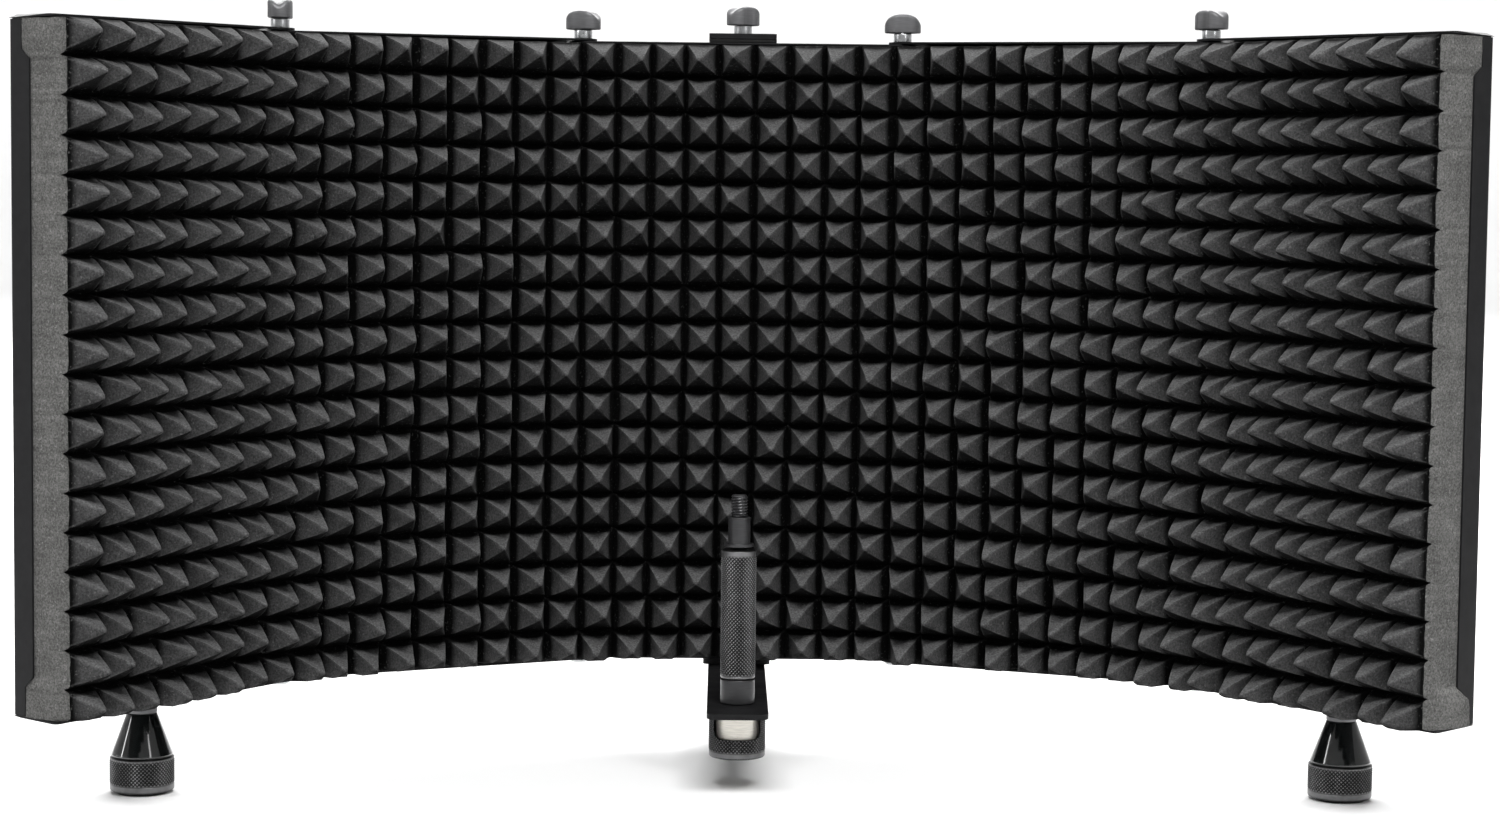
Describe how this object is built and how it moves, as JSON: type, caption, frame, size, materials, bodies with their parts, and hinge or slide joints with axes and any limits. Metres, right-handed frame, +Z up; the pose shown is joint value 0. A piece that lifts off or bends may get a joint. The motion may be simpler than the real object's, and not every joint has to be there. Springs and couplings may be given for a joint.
{
  "type": "microphone isolation shield",
  "caption": "Folding curved vocal shield: hinged metal panels lined with pyramid foam, a clamp bracket with microphone pole and stand adapter, screw-in feet.",
  "frame": {"origin": "middle of the bounding box on the surface that the feet stand on", "axes": "+Z up, +X along the shield, the open side of the curve faces -Y"},
  "size_m": [0.7536, 0.2884, 0.4296],
  "materials": {
    "black_steel": "satin black powder coat",
    "foam": "matt open-cell charcoal foam",
    "knob_grey": "satin grey",
    "zinc": "bright zinc",
    "gloss_black": "gloss black",
    "knurled": "knurled dark grey anodised",
    "nickel": "satin nickel",
    "rubber": "matt black",
    "black_turned": "smooth satin black"
  },
  "bodies": {
    "centre_panel": {"centre_tray": "black_steel", "centre_foam": "foam", "rear_bracket": "black_steel", "bracket_pad": "rubber", "microphone_arm": "black_steel", "arm_screw_left": "zinc", "arm_screw_right": "zinc", "clamp_nut": "zinc", "through_bolt": "zinc", "left_inner_nut": "zinc", "right_inner_nut": "zinc", "left_inner_lower_pivot": "zinc", "right_inner_lower_pivot": "zinc"},
    "left_middle_panel": {"left_middle_tray": "black_steel", "left_middle_foam": "foam", "left_outer_nut": "zinc", "left_outer_lower_pivot": "zinc"},
    "left_outer_panel": {"left_outer_tray": "black_steel", "left_outer_foam": "foam", "left_foot_nut": "zinc"},
    "right_middle_panel": {"right_middle_tray": "black_steel", "right_middle_foam": "foam", "right_outer_nut": "zinc", "right_outer_lower_pivot": "zinc"},
    "right_outer_panel": {"right_outer_tray": "black_steel", "right_outer_foam": "foam", "right_foot_nut": "zinc"},
    "left_inner_thumb_screw": {"left_inner_thumb_shank": "zinc", "left_inner_thumb_head": "knob_grey"},
    "right_inner_thumb_screw": {"right_inner_thumb_shank": "zinc", "right_inner_thumb_head": "knob_grey"},
    "left_outer_thumb_screw": {"left_outer_thumb_shank": "zinc", "left_outer_thumb_head": "knob_grey"},
    "right_outer_thumb_screw": {"right_outer_thumb_shank": "zinc", "right_outer_thumb_head": "knob_grey"},
    "clamp_thumb_screw": {"clamp_thumb_shank": "zinc", "clamp_thumb_head": "knob_grey"},
    "left_foot": {"left_foot_stud": "zinc", "left_foot_collar": "knurled", "left_foot_cone": "gloss_black", "left_foot_base": "knurled", "left_foot_pad": "rubber"},
    "right_foot": {"right_foot_stud": "zinc", "right_foot_collar": "knurled", "right_foot_cone": "gloss_black", "right_foot_base": "knurled", "right_foot_pad": "rubber"},
    "rear_foot": {"rear_foot_stud": "zinc", "rear_foot_collar": "knurled", "rear_foot_cone": "gloss_black", "rear_foot_base": "knurled", "rear_foot_pad": "rubber"},
    "microphone_pole": {"pole_ferrule": "knurled", "pole_grip": "knurled", "pole_neck": "black_turned"},
    "stand_adapter": {"adapter_sleeve": "knurled", "adapter_bushing": "nickel"}
  },
  "joints": [
    {"name": "left_inner_fold", "type": "hinge", "parent": "centre_panel", "child": "left_middle_panel", "pos_m": [-0.09795, 0.11745, 0.228], "axis": [0, 0, 1], "range_deg": [-28.5, 9.5]},
    {"name": "right_inner_fold", "type": "hinge", "parent": "centre_panel", "child": "right_middle_panel", "pos_m": [0.08705, 0.11745, 0.228], "axis": [0, 0, -1], "range_deg": [-26, 9.5]},
    {"name": "left_outer_fold", "type": "hinge", "parent": "left_middle_panel", "child": "left_outer_panel", "pos_m": [-0.26053, 0.02917, 0.228], "axis": [0, 0, 1], "range_deg": [-29, 9.5]},
    {"name": "right_outer_fold", "type": "hinge", "parent": "right_middle_panel", "child": "right_outer_panel", "pos_m": [0.25333, 0.03635, 0.228], "axis": [0, 0, -1], "range_deg": [-28.5, 9.5]},
    {"name": "left_inner_thumb_turn", "type": "hinge", "parent": "centre_panel", "child": "left_inner_thumb_screw", "pos_m": [-0.09795, 0.11745, 0.41], "axis": [0, 0, 1], "continuous": true},
    {"name": "right_inner_thumb_turn", "type": "hinge", "parent": "centre_panel", "child": "right_inner_thumb_screw", "pos_m": [0.08705, 0.11745, 0.41], "axis": [0, 0, 1], "continuous": true},
    {"name": "left_outer_thumb_turn", "type": "hinge", "parent": "left_middle_panel", "child": "left_outer_thumb_screw", "pos_m": [-0.26053, 0.02917, 0.41], "axis": [0, 0, 1], "continuous": true},
    {"name": "right_outer_thumb_turn", "type": "hinge", "parent": "right_middle_panel", "child": "right_outer_thumb_screw", "pos_m": [0.25333, 0.03635, 0.41], "axis": [0, 0, 1], "continuous": true},
    {"name": "clamp_thumb_turn", "type": "hinge", "parent": "centre_panel", "child": "clamp_thumb_screw", "pos_m": [-0.00545, 0.12545, 0.41], "axis": [0, 0, 1], "continuous": true},
    {"name": "left_foot_turn", "type": "hinge", "parent": "left_outer_panel", "child": "left_foot", "pos_m": [-0.32269, -0.04979, 0.03], "axis": [0, 0, 1], "continuous": true},
    {"name": "right_foot_turn", "type": "hinge", "parent": "right_outer_panel", "child": "right_foot", "pos_m": [0.31954, -0.03926, 0.03], "axis": [0, 0, 1], "continuous": true},
    {"name": "rear_foot_turn", "type": "hinge", "parent": "centre_panel", "child": "rear_foot", "pos_m": [-0.00545, 0.12945, 0.03], "axis": [0, 0, 1], "continuous": true},
    {"name": "pole_turn", "type": "hinge", "parent": "centre_panel", "child": "microphone_pole", "pos_m": [-0.00545, -0.02155, 0.08], "axis": [0, 0, 1], "continuous": true},
    {"name": "adapter_turn", "type": "hinge", "parent": "centre_panel", "child": "stand_adapter", "pos_m": [-0.00545, -0.02155, 0.03], "axis": [0, 0, 1], "continuous": true}
  ]
}
